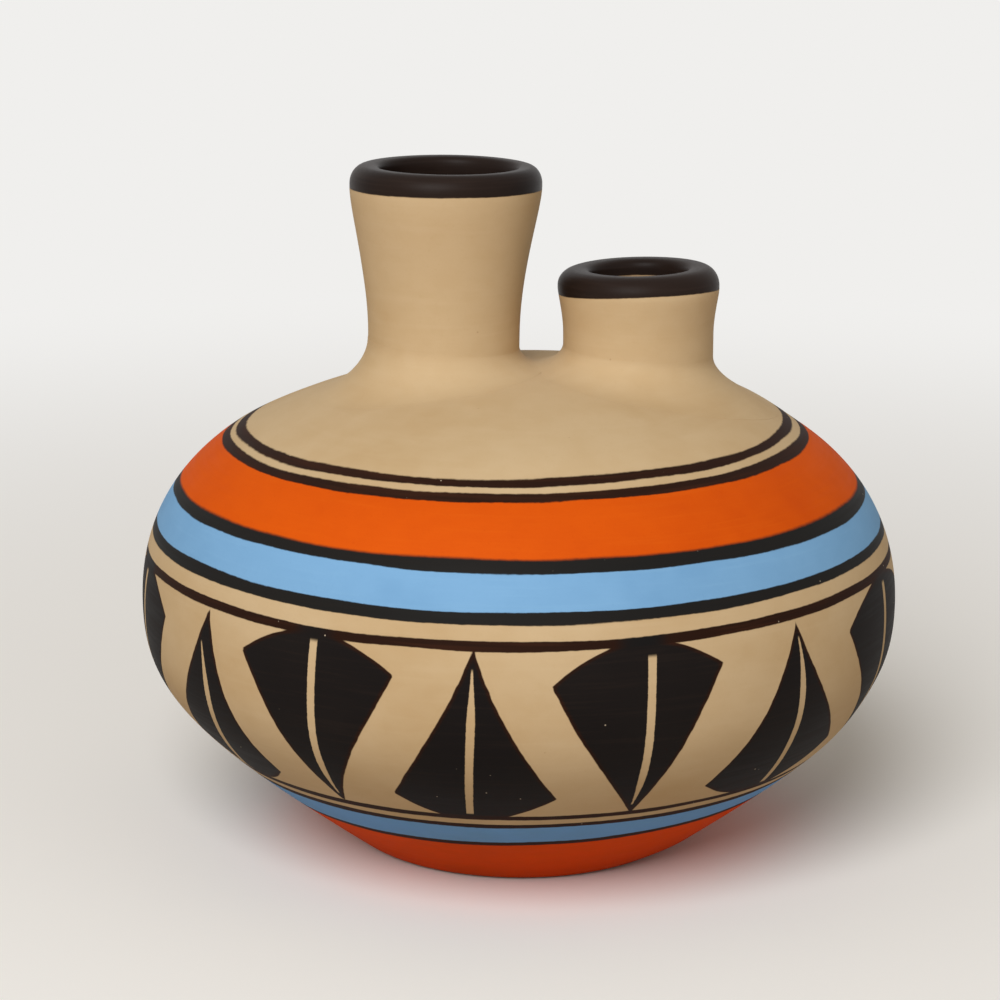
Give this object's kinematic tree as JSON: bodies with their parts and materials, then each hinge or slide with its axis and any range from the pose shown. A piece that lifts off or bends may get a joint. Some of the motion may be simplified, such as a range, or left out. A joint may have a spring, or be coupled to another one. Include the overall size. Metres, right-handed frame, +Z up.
{
  "type": "double spout vase",
  "caption": "Low round earthenware vase with a domed top carrying a tall and a short neck, painted with bands and a feather frieze.",
  "frame": {"origin": "middle of the flat foot, on the axis of the round body", "axes": "+Z up along the body's axis; the two necks stand in the XZ plane, the tall one towards -X and the short one towards +X; -Y faces the viewer"},
  "size_m": [0.18, 0.18, 0.1614],
  "materials": {
    "painted_base": "matte earthenware, painted orange and blue with dark lines",
    "painted_wall": "matte buff earthenware, painted with black feathers",
    "painted_dome": "matte buff earthenware, painted with orange and blue bands",
    "clay": "matte buff earthenware, bare",
    "black_lip": "satin black paint on earthenware"
  },
  "bodies": {
    "root": {"base_pan": "painted_base", "coiled_wall": "painted_wall", "shoulder_dome": "painted_dome", "tall_neck": "clay", "tall_root_coil": "clay", "tall_lip": "black_lip", "short_neck": "clay", "short_root_coil": "clay", "short_lip": "black_lip"}
  },
  "joints": []
}
